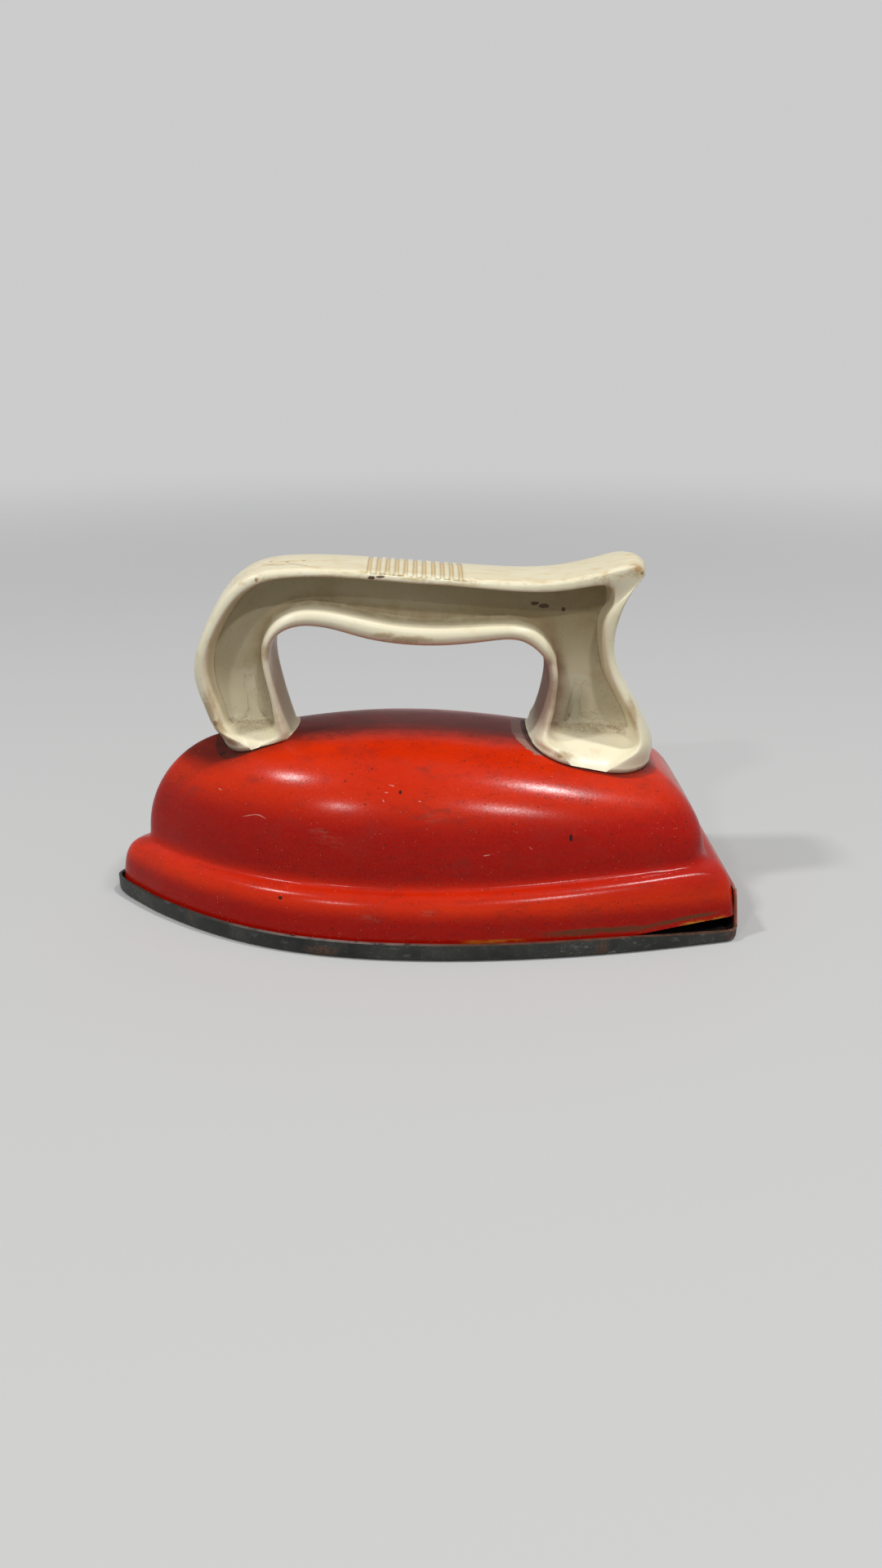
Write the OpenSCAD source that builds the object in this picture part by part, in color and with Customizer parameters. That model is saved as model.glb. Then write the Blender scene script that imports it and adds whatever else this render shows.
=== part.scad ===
// Toy flat iron: a pressed tin body on a pressed steel sole, with one moulded plastic handle
// held by two screws from inside the body.
// Millimetres, +Z up. The sole stands on Z = 0, the nose points to -X and the flat rear to +X.

/* [Overall] */
// length of the sole from the nose to the rear flange
sole_length = 150; // [120:1:180]
// width of the sole at its widest place
sole_width = 78.8; // [64:0.5:94]
// height of the handle line above the table
overall_height = 84; // [72:0.5:98]

/* [Plan outline] */
// place of the widest section behind the nose, as a share of the length
widest_share = 0.58; // [0.5:0.01:0.66]
// front half of the outline: way from nose to widest section, half width
front_outline_shares = [
    [0, 0], [0.004, 0.032], [0.014, 0.075], [0.038, 0.14], [0.08, 0.232], [0.13, 0.343],
    [0.2, 0.47], [0.3, 0.63], [0.42, 0.775], [0.55, 0.883], [0.7, 0.957], [0.85, 0.991], [1, 1]
];
// how much narrower the rear end is than the widest section
rear_taper_share = 0.225; // [0.1:0.005:0.35]
// how late the taper sets in
rear_taper_power = 1.8; // [1.2:0.1:3]

/* [Sole plate] */
// sheet thickness of the sole plate
sole_thickness = 0.7; // [0.4:0.05:1.2]
// height of the rim along the front and the middle
rim_height = 4.4; // [3:0.1:6]
// height of the rim at its low rear end
rim_rear_height = 3.1; // [2.6:0.1:4]
// height of the rear flange against the shoulder of the shell
flange_height_share = 0.62; // [0.45:0.01:0.76]
// where the rim begins to fall, as a share of the length
rim_fall_share = 0.8; // [0.5:0.01:0.85]
// corner radius of the sole in plan
sole_corner_radius = 3.4; // [2.5:0.1:6]

/* [Body shell] */
// sheet thickness of the shell
shell_thickness = 0.6; // [0.4:0.05:1]
// clearance between the skirt and the rim
rim_clearance = 0.5; // [0.3:0.05:0.8]
// clearance between the rear of the shell and the flange
flange_clearance = 0.1; // [0.05:0.01:0.3]
// corner radius of the skirt in plan
skirt_corner_radius = 3; // [2:0.1:6]
// height of the shoulder above the sole sheet
shoulder_height = 13.6; // [11:0.1:16]
// width of the ledge from the skirt to the dome
shoulder_width = 6; // [4.5:0.1:8]
// skirt and ledge section: share of the ledge width, share of the shoulder height
skirt_section_shares = [
    [0, 0], [0.07, 0.42], [0.13, 0.62], [0.22, 0.765], [0.38, 0.9], [0.58, 0.968], [0.8, 0.992],
    [0.93, 1.02]
];
// how much wider the ledge is at the nose
nose_ledge_share = 1.3; // [1:0.05:1.6]
// rise of the ledge at the rear end
rear_rise_height = 3; // [0:0.1:4]
// rise of the skirt's lower edge at the rear end
skirt_rise_height = 5.4; // [0:0.1:6]
// where the rise of the ledge begins, as a share of the length
rise_start_share = 0.5; // [0.3:0.01:0.7]
// where the rise of the skirt's lower edge begins, as a share of the length
skirt_rise_share = 0.62; // [0.4:0.01:0.75]
// corner radius of the dome in plan
dome_corner_radius = 9; // [5:0.5:14]
// height of the foot of the dome above the sole sheet
dome_foot_height = 14.9; // [12:0.1:17]
// crest of the dome: way along the sole, height above the table
crest_shares = [
    [0.04, 0.4], [0.07, 0.432], [0.1, 0.456], [0.14, 0.478], [0.185, 0.496], [0.25, 0.513],
    [0.31, 0.524], [0.4, 0.534], [0.465, 0.536], [0.52, 0.533], [0.57, 0.526], [0.63, 0.514],
    [0.68, 0.502], [0.79, 0.467], [0.88, 0.43], [0.93, 0.402], [0.98, 0.365]
];
// heights of the rings of the dome, as shares of its rise
dome_ring_shares = [
    0, 0.07, 0.16, 0.27, 0.38, 0.49, 0.59, 0.68, 0.76, 0.83, 0.89, 0.935, 0.967, 0.988,
    0.997
];
// fullness of the dome's cross section
dome_power = 2.5; // [2:0.05:3.2]
// lean of the dome's wall
dome_lean_share = 0.03; // [0:0.005:0.1]
// length of the crest line against the length of the dome
crest_length_share = 0.69; // [0.5:0.01:0.8]
// middle of the crest line along the sole
crest_middle_share = 0.527; // [0.45:0.005:0.6]

/* [Handle] */
// outer line of the handle from front foot over the top to the rear foot
handle_outer_shares = [
    [0.187, 0.49], [0.179, 0.531], [0.174, 0.556], [0.168, 0.595], [0.16, 0.655],
    [0.158, 0.714], [0.168, 0.782], [0.193, 0.868], [0.222, 0.941], [0.26, 0.984],
    [0.308, 0.997], [0.365, 0.998],
    [0.429, 0.992], [0.493, 0.984], [0.557, 0.974], [0.621, 0.966], [0.683, 0.961], [0.74, 0.967],
    [0.793, 0.987], [0.836, 1.008], [0.857, 0.985], [0.846, 0.962], [0.825, 0.903],
    [0.813, 0.827], [0.812, 0.762], [0.822, 0.695], [0.848, 0.613], [0.87, 0.542],
    [0.885, 0.482], [0.887, 0.425]
];
// inner line of the handle round the finger gap, point by point against the outer line
handle_inner_shares = [
    [0.317, 0.5], [0.31, 0.522], [0.305, 0.543], [0.298, 0.577], [0.289, 0.637],
    [0.283, 0.696], [0.282, 0.75], [0.288, 0.789], [0.305, 0.814], [0.327, 0.826],
    [0.35, 0.826], [0.383, 0.815],
    [0.43, 0.789], [0.487, 0.773], [0.547, 0.77], [0.603, 0.779], [0.647, 0.788], [0.673, 0.776],
    [0.692, 0.75], [0.701, 0.729], [0.706, 0.713], [0.708, 0.698], [0.71, 0.673],
    [0.709, 0.645], [0.706, 0.615], [0.702, 0.583], [0.697, 0.553], [0.692, 0.53],
    [0.686, 0.512], [0.681, 0.5]
];
// inner edge of the side recess at each point of the lines
recess_inner_shares = [
    0.46, 0.22, 0.17, 0.13, 0.09, 0.1, 0.13, 0.15, 0.2, 0.25, 0.3, 0.31, 0.3, 0.27, 0.27, 0.28,
    0.26, 0.21, 0.14, 0.1, 0.09, 0.09, 0.11, 0.14, 0.15, 0.15, 0.12, 0.12, 0.17, 0.4
];
// outer edge of the side recess at each point of the lines
recess_outer_shares = [
    0.54, 0.78, 0.81, 0.8, 0.81, 0.81, 0.81, 0.8, 0.79, 0.785, 0.8, 0.815, 0.83, 0.825, 0.83, 0.8,
    0.77, 0.775, 0.795, 0.73, 0.64, 0.635, 0.69, 0.79, 0.84, 0.855, 0.865, 0.855, 0.8, 0.56
];
// depth of the side recess at each point of the lines
recess_depth_shares = [
    -0.2, 0.6, 0.96, 1, 1, 1, 1, 1, 1, 1, 1, 1, 1, 1, 1, 1,
    1, 1, 1, 1, 1, 1, 1, 1, 1, 1, 1, 0.96, 0.56, -0.2
];
// half width of the grip
grip_half_width = 10; // [8:0.1:13]
// half width at each point of the lines, against the grip
width_shares = [
    0.97, 0.99, 1, 1, 1, 1, 1, 1, 1, 1, 1, 1, 1, 1, 1, 1,
    1, 1, 1, 0.98, 0.94, 0.96, 1, 1, 1, 1.05, 1.1, 1.2, 1.38, 1.62
];
// rounding of the outer edges of the grip
outer_rounding_radius = 1.7; // [1:0.1:2.4]
// rounding of the outer edges at each point of the lines, against the grip
outer_rounding_shares = [
    5.4, 4, 2.8, 2, 1.4, 1, 1, 1, 1, 1, 1, 1, 1, 1, 1, 1,
    1, 1, 1, 1, 1, 1, 1, 1, 1, 1.1, 1.5, 2.8, 5, 8
];
// rounding of the edges round the finger gap
inner_rounding_radius = 1.9; // [1:0.1:2.4]
// rounding of the inner edges at each point of the lines, against the gap
inner_rounding_shares = [
    3.6, 3.4, 3.1, 2.8, 2.4, 2.1, 1.7, 1.4, 1.2, 1, 1, 1, 1, 1, 1, 1,
    1, 1, 1, 1.1, 1.3, 1.5, 1.7, 2, 2.3, 2.6, 2.8, 3.1, 3.8, 4.7
];
// bead between the side recess and the gap: way along the rib
bead_radius = 2.4; // [1:0.1:3]
// bead between the side recess and the gap: way across the handle
bead_drop_height = 1.6; // [0.5:0.1:2.4]
// crown of the surface round the finger gap
gap_crown_height = 0.3; // [0.1:0.05:0.8]
// crown of the outer surface across the grip
grip_crown_height = 0.8; // [0.2:0.1:1.4]
// crown at each point of the lines, against the grip
crown_shares = [
    1.2, 1.4, 1.4, 1.4, 1.2, 1, 1, 1, 1, 1, 1, 1, 1, 1, 1, 1,
    1, 1, 1, 1.4, 2, 1, 1, 1, 1, 1, 1, 1.2, 1.4, 1.4
];
// rounding of the outer edge of the recess
mouth_rounding_radius = 0.4; // [0.2:0.05:0.5]
// slope of the recess walls from mouth to floor
recess_draft_width = 0.6; // [0.2:0.05:1]
// fillet at the foot of the recess walls
recess_fillet_radius = 0.9; // [0.4:0.1:1.2]
// half thickness of the middle web
web_half_width = 2.1; // [1.6:0.1:2.4]
// gap between the skirt's edge and the sole it rests on
seat_clearance = 0.12; // [0.08:0.01:0.3]
// gap between the handle's feet and the shell
foot_clearance = 0.22; // [0.08:0.01:0.3]

/* [Grip grooves] */
// number of grooves across the top of the grip
groove_count = 11; // [3:1:15]
// distance from groove to groove
groove_pitch = 2.06; // [1.6:0.01:2.3]
// width of one groove
groove_width = 0.85; // [0.5:0.05:1.2]
// depth of one groove
groove_depth = 0.35; // [0.2:0.05:0.7]
// first groove along the sole, as a share of the length
groove_start_share = 0.435; // [0.4:0.005:0.46]

/* [Screws] */
// place of the front screw along the sole
front_screw_share = 0.252; // [0.24:0.001:0.27]
// place of the rear screw along the sole
rear_screw_share = 0.745; // [0.73:0.001:0.76]
// diameter of the screw shank
shank_diameter = 2.6; // [2:0.1:3]
// diameter of the screw head
head_diameter = 6; // [5:0.1:7]
// height of the screw head
head_height = 2; // [1.4:0.1:2.6]
// length of the screw below its head
screw_length = 11; // [9:0.5:13]
// length of the screw's point
point_length = 2; // [1:0.1:3]
// width of the driver slot
slot_width = 0.9; // [0.6:0.05:1.2]
// depth of the driver slot
slot_depth = 1; // [0.6:0.05:1.2]
// diameter of the washer
washer_diameter = 9; // [7:0.1:11]
// thickness of the washer
washer_thickness = 0.8; // [0.5:0.05:1.2]
// diameter of the screw bosses in the handle
boss_diameter = 5; // [4.6:0.1:6]
// height of the screw bosses above the seat
boss_height = 14; // [12:0.5:18]
// clearance between the screw and the holes in sheet and washer
hole_clearance = 0.5; // [0.3:0.05:0.8]
// clearance between the screw and its bore in the handle
bore_clearance = 0.06; // [0.04:0.01:0.1]
// clearance between the washer's edge and the sheet over it
washer_clearance = 0.15; // [0.1:0.05:0.4]

/* [Hidden] */
// overrun of cutting shapes
overrun = 1;
round_facets = 32;
groove_facets = 64;
nose_x = -sole_length / 2;
rear_x = sole_length / 2;
// the skirt stands where the bend of the sole's rim ends
sole_bend_radius = sole_thickness + rim_clearance;
shell_inset = sole_bend_radius;
// shell outline and where it is measured from
shell_nose = nose_x + shell_inset;
shell_rear = rear_x - sole_thickness - flange_clearance;
shell_half = sole_width / 2 - shell_inset;
bore_diameter = shank_diameter + 2 * bore_clearance;
hole_diameter = shank_diameter + 2 * hole_clearance;

function share_x(s) = nose_x + s * sole_length;
function share_z(s) = s * overall_height;
function clamp01(v) = max(0, min(1, v));
function smooth(v) = let (c = clamp01(v)) c * c * (3 - 2 * c);
function mix(a, b, t) = a + (b - a) * t;
function unit(v) = v / norm(v);

// smooth line through a list of points or values, t counts the points
function line_at(p, t) =
    let (
        last = len(p) - 1, i = min(floor(t), last - 1), u = t - i,
        a = p[max(i - 1, 0)], b = p[i], c = p[i + 1], d = p[min(i + 2, last)]
    )
    (2 * b + (c - a) * u + (2 * a - 5 * b + 4 * c - d) * u * u
        + (3 * b - a - 3 * c + d) * u * u * u) / 2;

// plan outline: one half from the nose to the middle of the rear edge
front_steps = 18;
side_steps = 5;
corner_steps = 5;
edge_steps = 3;
half_count = front_steps + side_steps + corner_steps + edge_steps;

function side_half(x, wide_x, rear, half) =
    half * (1 - rear_taper_share * pow(max(0, x - wide_x) / (rear - wide_x), rear_taper_power));

function half_outline(nose, rear, half, corner) =
    let (
        wide_x = share_x(widest_share),
        corner_x = rear - corner,
        corner_y = side_half(corner_x, wide_x, rear, half) - corner
    )
    concat(
        [for (i = [0 : front_steps - 1])
            let (p = line_at(front_outline_shares,
                i / front_steps * (len(front_outline_shares) - 1)))
            [mix(nose, wide_x, p[0]), max(0, p[1]) * half]],
        [for (i = [0 : side_steps - 1])
            let (x = mix(wide_x, corner_x, i / side_steps))
            [x, side_half(x, wide_x, rear, half)]],
        [for (i = [0 : corner_steps])
            let (a = 90 - 90 * i / corner_steps)
            [corner_x + corner * cos(a), corner_y + corner * sin(a)]],
        [for (i = [1 : edge_steps])
            [rear, corner_y * (1 - i / edge_steps)]]
    );

// whole ring from the half: near side first, then back along the far side
function ring(half) = concat(
    [for (p = half) [p[0], -p[1]]],
    [for (i = [half_count - 1 : -1 : 1]) half[i]]
);
ring_count = 2 * half_count;

// faces between the rows of a closed grid
function grid_faces(rows, count, first) = [
    for (k = [0 : rows - 2], i = [0 : count - 1])
        let (
            j = (i + 1) % count,
            a = first + k * count + i, b = first + k * count + j,
            c = first + (k + 1) * count + j, d = first + (k + 1) * count + i
        )
        each [[a, c, b], [a, d, c]]
];
function flip(faces) = [for (f = faces) [f[0], f[2], f[1]]];
// faces that close a ring: strips across it, then a fan to the straight rear edge
function strip_faces(first) =
    let (last = half_count - edge_steps)
    concat(
        [for (i = [0 : last - 2])
            let (
                a = first + i, b = first + i + 1,
                c = first + ring_count - i - 1, d = first + ring_count - i
            )
            each concat([[a, c, b]], i > 0 ? [[a, d, c]] : [])],
        [for (k = [last : ring_count - last]) [first + last - 1, first + k + 1, first + k]]
    );

// the shell's outside: skirt, ledge and dome as one grid of rings
function rise(x, s) = smooth((x - share_x(s)) / (rear_x - share_x(s)));
function ledge_z(x) = sole_thickness + rear_rise_height * rise(x, rise_start_share);
crest_steps = 4;
crest_line = [
    for (i = [0 : crest_steps * (len(crest_shares) - 1)])
        let (p = line_at(crest_shares, i / crest_steps)) [share_x(p[0]), share_z(p[1])]
];
function crest(x) = lookup(x, crest_line);
function dome_foot(x) = ledge_z(x) + dome_foot_height;
dome_half = half_outline(
    shell_nose + nose_ledge_share * shoulder_width,
    shell_rear - shoulder_width,
    shell_half - shoulder_width,
    dome_corner_radius
);
crest_middle = share_x(crest_middle_share);
dome_middle = (dome_half[0][0] + dome_half[half_count][0]) / 2;

// plan scale of the dome at height share h, and the surface point above an outline point
function dome_scale(h) =
    pow(1 - pow(h, dome_power), 1 / dome_power) * (1 - dome_lean_share * h);
function dome_x(x, c) =
    let (s = crest_middle + (x - dome_middle) * crest_length_share) mix(s, x, c);
function dome_point(p, h) =
    let (c = dome_scale(h), x = dome_x(p[0], c))
    [x, p[1] * c, mix(dome_foot(x), crest(x), h)];

function skirt_ring(s) =
    let (inset = s[0] * shoulder_width)
    [for (p = ring(half_outline(
            shell_nose + nose_ledge_share * inset, shell_rear - inset, shell_half - inset,
            mix(skirt_corner_radius, dome_corner_radius, s[0]))))
        [p[0], p[1], s[1] == 0
            ? sole_thickness + seat_clearance + skirt_rise_height * rise(p[0], skirt_rise_share)
            : ledge_z(p[0]) + s[1] * shoulder_height]];

shell_outside = concat(
    [for (s = skirt_section_shares) skirt_ring(s)],
    [for (h = dome_ring_shares) [for (p = ring(dome_half)) dome_point(p, h)]]
);

// the same surface moved inwards by the sheet
function surface_normal(g, k, i) =
    let (
        a = g[k][(i + 1) % ring_count] - g[k][(i + ring_count - 1) % ring_count],
        b = g[min(k + 1, len(g) - 1)][i] - g[max(k - 1, 0)][i]
    )
    unit(cross(a, b));
// rows of the outside that the inside repeats
inner_rows = [0, 2, 4, 6, 7, 8, 10, 13, 16, 18, 20, 22];
shell_inside = [
    for (k = inner_rows)
        [for (i = [0 : ring_count - 1])
            let (n = surface_normal(shell_outside, k, i), m = k == 0 ? unit([n[0], n[1], 0]) : n)
            shell_outside[k][i] - shell_thickness * m]
];

// height of the shell over a point in plan, found by halving
halvings = 22;
dome_width_line = [for (i = [0 : front_steps + side_steps]) dome_half[i]];
function dome_miss(x, y, h) =
    let (
        c = dome_scale(h),
        near = crest_middle - dome_middle * crest_length_share,
        x0 = (x - near * (1 - c)) / (crest_length_share * (1 - c) + c)
    )
    lookup(x0, dome_width_line) * c - abs(y);
function dome_share(x, y, low, high, n) =
    let (h = (low + high) / 2)
    n == 0 ? h : dome_miss(x, y, h) > 0
        ? dome_share(x, y, h, high, n - 1) : dome_share(x, y, low, h, n - 1);
function dome_height(x, y) = mix(dome_foot(x), crest(x), dome_share(x, y, 0, 1, halvings));
slope_step_share = 0.007;
slope_step = slope_step_share * sole_length;
function crest_slope(x) =
    atan((crest(x + slope_step) - crest(x - slope_step)) / (2 * slope_step));

module body_shell() {
    rows = len(shell_outside);
    inner = len(shell_inside);
    skin = rows * ring_count;
    rim = [
        for (i = [0 : ring_count - 1])
            let (j = (i + 1) % ring_count)
            each [[i, j, skin + j], [i, skin + j, skin + i]]
    ];
    color([0.72, 0.12, 0.07])
    difference() {
        polyhedron(
            points = concat([for (r = shell_outside) each r], [for (r = shell_inside) each r]),
            faces = concat(
                grid_faces(rows, ring_count, 0),
                strip_faces((rows - 1) * ring_count),
                flip(grid_faces(inner, ring_count, skin)),
                flip(strip_faces(skin + (inner - 1) * ring_count)),
                rim
            )
        );
        for (s = [front_screw_share, rear_screw_share])
            on_crest(s)
                cylinder(h = 2 * (shell_thickness + overrun), d = hole_diameter, center = true,
                    $fn = round_facets);
    }
}

// frame on the crest at a share of the length, square to the surface
module on_crest(s) {
    x = share_x(s);
    translate([x, 0, crest(x)])
        rotate([0, -crest_slope(x), 0])
            children();
}

// the sole: a shallow tray whose straight rear wall stands up as a flange that hugs the shell
sole_half = half_outline(nose_x, rear_x, sole_width / 2, sole_corner_radius);
flange_top = ledge_z(rear_x) + flange_height_share * shoulder_height;
function rim_top(x) = mix(rim_height, rim_rear_height,
    smooth((x - share_x(rim_fall_share)) / (rear_x - share_x(rim_fall_share))));
// the flange stands on the straight rear edge, between the two corners
function on_flange(i) = min(i, ring_count - i) >= half_count - edge_steps;
function wall_top(i, x) = on_flange(i) ? flange_top : rim_top(x);
// how far the wall leans in with the skirt at a height
skirt_lean_line = [for (s = skirt_section_shares) [s[1], s[0] * shoulder_width]];
function lean(i, x, z) =
    on_flange(i) ? lookup((z - ledge_z(x)) / shoulder_height, skirt_lean_line) : 0;
function offset_ring(half, d) =
    let (r = ring(half))
    [for (i = [0 : ring_count - 1])
        let (t = unit(r[(i + 1) % ring_count] - r[(i + ring_count - 1) % ring_count]))
        [r[i][0] - t[1] * d, r[i][1] + t[0] * d]];

sole_wall_shares = [0, 0.4, 0.75, 1];
// rows of the wall over one line in plan
function wall_rows(line, base) =
    [for (s = sole_wall_shares)
        [for (i = [0 : ring_count - 1])
            let (z = mix(sole_bend_radius, wall_top(i, base[i][0]), s))
            [line[i][0] - lean(i, base[i][0], z), line[i][1], z]]];
module soleplate() {
    base = ring(sole_half);
    bend_in = sole_bend_radius - sole_thickness;
    outside = concat(
        [for (a = [90, 60, 30])
            let (r = offset_ring(sole_half, sole_bend_radius * (1 - cos(a))))
            [for (p = r) [p[0], p[1], sole_bend_radius * (1 - sin(a))]]],
        wall_rows(base, base)
    );
    inside = concat(
        [for (a = [90, 45])
            let (r = offset_ring(sole_half, sole_thickness + bend_in * (1 - cos(a))))
            [for (p = r) [p[0], p[1], sole_thickness + bend_in * (1 - sin(a))]]],
        wall_rows(offset_ring(sole_half, sole_thickness), base)
    );
    skin = len(outside) * ring_count;
    top = (len(outside) - 1) * ring_count;
    inner_top = skin + (len(inside) - 1) * ring_count;
    lip = [
        for (i = [0 : ring_count - 1])
            let (j = (i + 1) % ring_count)
            each [[top + i, inner_top + j, top + j], [top + i, inner_top + i, inner_top + j]]
    ];
    color([0.26, 0.26, 0.25])
    polyhedron(
        points = concat([for (r = outside) each r], [for (r = inside) each r]),
        faces = concat(
            grid_faces(len(outside), ring_count, 0),
            flip(strip_faces(0)),
            flip(grid_faces(len(inside), ring_count, skin)),
            strip_faces(skin),
            lip
        )
    );
}

// the handle: an I section swept along the ribs between its outer and inner lines
handle_last = len(handle_outer_shares) - 1;
handle_steps = 2;
foot_steps = 3;
foot_span = 4;
handle_stations = concat(
    [for (i = [0 : foot_span * foot_steps - 1]) i / foot_steps],
    [for (i = [foot_span * handle_steps : (handle_last - foot_span) * handle_steps - 1])
        i / handle_steps],
    [for (i = [0 : foot_span * foot_steps]) handle_last - foot_span + i / foot_steps]
);
function handle_line(list, t) = let (p = line_at(list, t)) [share_x(p[0]), share_z(p[1])];

// one half of the section as [way along the rib, way across], from outer to inner middle
fillet_share = 0.3;
bead_share = 0.5;
function section_half(t) =
    let (
        reach = norm(handle_line(handle_outer_shares, t) - handle_line(handle_inner_shares, t)),
        w = grip_half_width * line_at(width_shares, t),
        crown = grip_crown_height * line_at(crown_shares, t),
        mouth_in = reach * line_at(recess_inner_shares, t),
        mouth_out = reach * line_at(recess_outer_shares, t),
        ease = min(1, (mouth_out - mouth_in) / (3 * (recess_draft_width + recess_fillet_radius))),
        ro = outer_rounding_radius * line_at(outer_rounding_shares, t),
        ri = inner_rounding_radius * line_at(inner_rounding_shares, t),
        ro_along = min(ro, reach - mouth_out - crown - 2 * mouth_rounding_radius),
        flange = mouth_in - gap_crown_height - mouth_rounding_radius,
        bead_along = min(bead_radius, bead_share * flange),
        ri_along = min(ri, flange - bead_along),
        sink = clamp01(line_at(recess_depth_shares, t)) * (w - web_half_width),
        lip = min(mouth_rounding_radius, sink),
        bead = min(bead_drop_height, sink),
        draft = ease * recess_draft_width,
        fillet = ease * recess_fillet_radius,
        soft = min(fillet, (sink - bead) / 2)
    )
    concat(
        [for (s = [0, 0.5, 1])
            [reach - crown * s * s, s * (w - ro)]],
        [for (a = [75, 60, 45, 22.5, 0])
            [reach - crown - ro_along * (1 - sin(a)), w - ro * (1 - cos(a))]],
        [
            [mouth_out + mouth_rounding_radius, w],
            [mouth_out, w - lip],
            [mouth_out - draft, w - sink + soft],
            [mouth_out - draft - fillet_share * fillet, w - sink + fillet_share * soft],
            [mouth_out - draft - fillet, w - sink],
            [mouth_in + draft + fillet, w - sink],
            [mouth_in + draft + fillet_share * fillet, w - sink + fillet_share * soft],
            [mouth_in + draft, w - sink + soft]
        ],
        [for (a = [0, 45, 90])
            [mouth_in - bead_along * (1 - cos(a)), w - bead * (1 - sin(a))]],
        [for (a = [0, 22.5, 45, 67.5, 90])
            [gap_crown_height + ri_along * (1 - sin(a)), w - ri * (1 - cos(a))]],
        [[0, 0]]
    );

// the section set up in space; the last one at each end follows the shell
function section_ring(t) =
    let (
        q = handle_line(handle_inner_shares, t),
        e = unit(handle_line(handle_outer_shares, t) - q),
        half = section_half(t),
        n = len(half) - 1,
        seated = t == 0 || t == handle_last
    )
    [for (i = [0 : 2 * n - 1])
        let (
            s = i <= n ? half[i] : half[2 * n - i],
            y = i <= n ? -s[1] : s[1],
            x = q[0] + e[0] * s[0],
            z = q[1] + e[1] * s[0]
        )
        [x, y, seated ? dome_height(x, y) + foot_clearance : z]];

section_count = 2 * (len(section_half(0)) - 1);
seat_columns = 4;

// seat under a foot: rows across the foot that follow the shell
function seat_points(t) =
    let (r = section_ring(t), n = section_count / 2)
    [for (i = [1 : n - 1], j = [1 : seat_columns - 1])
        let (
            p = r[i], q = r[section_count - i],
            x = mix(p[0], q[0], j / seat_columns), y = mix(p[1], q[1], j / seat_columns)
        )
        [x, y, dome_height(x, y) + foot_clearance]];
// number of a seat point: edge points belong to the section, the others to the seat
function seat_index(i, j, edge, seat) =
    let (n = section_count / 2)
    i == 0 ? edge : i == n ? edge + n
        : j == 0 ? edge + i : j == seat_columns ? edge + section_count - i
        : seat + (i - 1) * (seat_columns - 1) + j - 1;
function seat_faces(edge, seat) =
    let (n = section_count / 2)
    [for (i = [0 : n - 1], j = [0 : seat_columns - 1])
        let (
            a = seat_index(i, j, edge, seat), b = seat_index(i, j + 1, edge, seat),
            c = seat_index(i + 1, j + 1, edge, seat), d = seat_index(i + 1, j, edge, seat)
        )
        each concat(a != b ? [[a, b, c]] : [], c != d ? [[a, c, d]] : [])];

module handle_body() {
    rows = len(handle_stations);
    body = [for (t = handle_stations) section_ring(t)];
    front_seat = rows * section_count;
    front_points = seat_points(0);
    rear_seat = front_seat + len(front_points);
    polyhedron(
        points = concat([for (r = body) each r], front_points, seat_points(handle_last)),
        faces = concat(
            grid_faces(rows, section_count, 0),
            flip(seat_faces(0, front_seat)),
            seat_faces((rows - 1) * section_count, rear_seat)
        )
    );
}

// grooves follow the crown: thin rings round an axis below the top of the grip,
// which runs between these points of the outer line
grip_first = 9;
grip_last = 18;
module grip_grooves() {
    reach = grip_half_width - outer_rounding_radius;
    radius = (reach * reach + grip_crown_height * grip_crown_height) / (2 * grip_crown_height);
    top_line = [
        for (i = [0 : crest_steps * (grip_last - grip_first)])
            handle_line(handle_outer_shares, grip_first + i / crest_steps)
    ];
    for (i = [0 : groove_count - 1]) {
        x = share_x(groove_start_share) + i * groove_pitch;
        z = lookup(x, top_line);
        fall = atan((lookup(x + slope_step, top_line) - lookup(x - slope_step, top_line))
            / (2 * slope_step));
        translate([x, 0, z])
            rotate([0, -fall, 0])
                translate([0, 0, -radius])
                    rotate([0, 90, 0])
                        difference() {
                            cylinder(h = groove_width, r = radius + overrun, center = true,
                                $fn = groove_facets);
                            cylinder(h = groove_width + overrun, r = radius - groove_depth,
                                center = true, $fn = groove_facets);
                        }
    }
}

module handle() {
    color([0.9, 0.87, 0.76])
    difference() {
        union() {
            handle_body();
            for (s = [front_screw_share, rear_screw_share])
                on_crest(s)
                    translate([0, 0, overrun])
                        cylinder(h = boss_height - overrun, d = boss_diameter,
                            $fn = round_facets);
        }
        for (s = [front_screw_share, rear_screw_share])
            on_crest(s)
                translate([0, 0, -overrun])
                    cylinder(h = screw_length + overrun, d = bore_diameter,
                        $fn = round_facets);
        grip_grooves();
    }
}

// slotted pan head screw, head down, its seat on the washer
head_profile_shares = [[0, 1], [0.45, 0.97], [0.75, 0.82], [0.93, 0.6], [1, 0.3], [1, 0]];
tip_share = 0.15;
module handle_screw() {
    shank = shank_diameter / 2;
    color([0.6, 0.58, 0.54])
    difference() {
        rotate_extrude($fn = round_facets)
            polygon(concat(
                [for (p = head_profile_shares)
                    [p[0] * head_diameter / 2, -p[1] * head_height]],
                [
                    [shank, 0], [shank, screw_length - point_length],
                    [tip_share * shank, screw_length], [0, screw_length]
                ]
            ));
        translate([0, 0, -head_height])
            cube([head_diameter + overrun, slot_width, 2 * slot_depth], center = true);
    }
}

module washer() {
    color([0.68, 0.67, 0.63])
    difference() {
        cylinder(h = washer_thickness, d = washer_diameter, $fn = round_facets);
        translate([0, 0, -overrun])
            cylinder(h = washer_thickness + 2 * overrun, d = hole_diameter,
                $fn = round_facets);
    }
}

// how far the face of the washer lies below the crest: its edge clears the curved sheet
function washer_drop(s) =
    let (x = share_x(s), sag = crest(x) - dome_height(x, washer_diameter / 2))
    shell_thickness + sag + washer_clearance + washer_thickness;

module fasten(s) {
    on_crest(s)
        translate([0, 0, -washer_drop(s)])
            children();
}

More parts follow.
